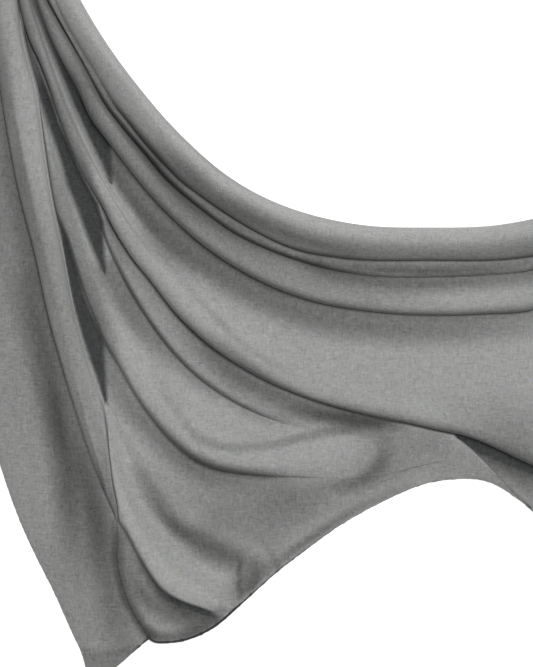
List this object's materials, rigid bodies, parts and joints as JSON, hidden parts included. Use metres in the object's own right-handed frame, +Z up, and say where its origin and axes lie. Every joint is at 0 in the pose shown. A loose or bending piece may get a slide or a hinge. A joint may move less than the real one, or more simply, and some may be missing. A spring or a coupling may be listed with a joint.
{
  "type": "georgette hijab",
  "caption": "Long plain georgette headscarf laid flat in a gathered swag, with soft pleats sagging between its gathers, a tail falling at each end and a narrow rolled hem.",
  "frame": {"origin": "centre of the laid cloth's box, on the surface that it rests on", "axes": "+X to the right along the swag, +Y over the surface towards the gathers, +Z up out of the surface"},
  "size_m": [0.9602, 0.821, 0.038],
  "materials": {
    "georgette": "fine slubby plain weave, soft and matt with a faint sheen on the folds",
    "hem_thread": "narrow rolled hem, matt"
  },
  "bodies": {
    "root": {"top_roll": "georgette", "second_pleat": "georgette", "panel": "georgette", "lower_swag": "georgette", "back_piece": "georgette", "front_tail_left": "georgette", "front_tail_right": "georgette", "back_tail_left": "georgette", "back_tail_right": "georgette", "long_hem": "hem_thread", "side_hem_left": "hem_thread", "side_hem_right": "hem_thread", "end_hem_left": "hem_thread", "end_hem_right": "hem_thread"}
  },
  "joints": []
}
